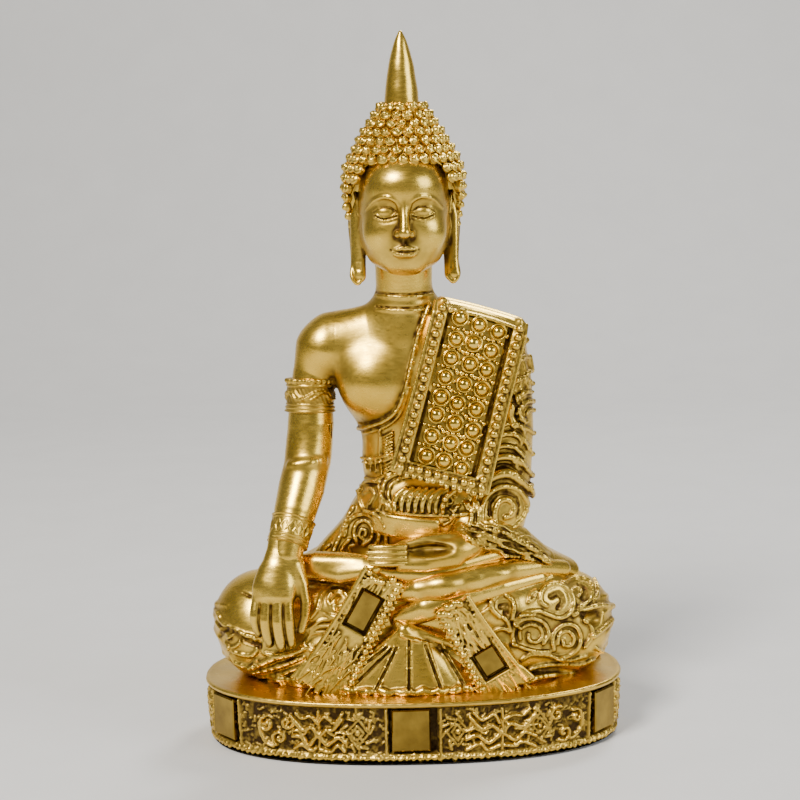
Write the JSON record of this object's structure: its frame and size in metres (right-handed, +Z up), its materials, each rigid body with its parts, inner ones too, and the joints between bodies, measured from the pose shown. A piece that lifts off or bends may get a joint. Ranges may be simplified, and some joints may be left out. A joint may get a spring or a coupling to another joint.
{
  "type": "seated statue",
  "caption": "Seated meditating figure in gold-painted cast resin, with a tall pointed finial, a draped and patterned robe, a beaded shoulder sash and small mirror tiles, on an oval pedestal",
  "frame": {"origin": "under the middle of the pedestal, on its flat underside", "axes": "+Z up, the figure faces -Y, the figure's right arm is on the -X side"},
  "size_m": [0.1201, 0.068, 0.2],
  "materials": {
    "gold_paint": "metallic gold paint over cast resin, satin",
    "antique_gold": "metallic gold paint rubbed with a dark wash in the recesses",
    "bead_gold": "bright gold beads",
    "mirror_tile": "small cut mirror tiles with a warm tint",
    "glue": "cured clear glue",
    "felt": "thin black felt",
    "steel_wire": "plain wire dowels"
  },
  "bodies": {
    "root": {"armlet": "gold_paint", "base_felt": "felt", "base_tile_front": "mirror_tile", "base_tile_left": "mirror_tile", "base_tile_right": "mirror_tile", "belt": "gold_paint", "bracelet": "gold_paint", "hair_cap": "gold_paint", "head": "gold_paint", "left_foot": "gold_paint", "left_hand": "gold_paint", "left_lap_strap": "gold_paint", "left_lap_tile": "mirror_tile", "left_shin": "gold_paint", "legs": "gold_paint", "neck": "gold_paint", "neck_dowel": "steel_wire", "pedestal": "antique_gold", "pleated_apron": "gold_paint", "right_arm": "gold_paint", "right_foot": "gold_paint", "right_hand": "gold_paint", "right_lap_strap": "gold_paint", "right_lap_tile": "mirror_tile", "robe_tail": "gold_paint", "sash_beads": "bead_gold", "sash_frame": "gold_paint", "sash_strip": "antique_gold", "seat_dowel_left": "steel_wire", "seat_dowel_right": "steel_wire", "shoulder_dowel": "steel_wire", "sleeve": "gold_paint", "spire": "gold_paint", "tile_glue": "glue", "torso": "gold_paint", "waist_dowel": "steel_wire"}
  },
  "joints": []
}
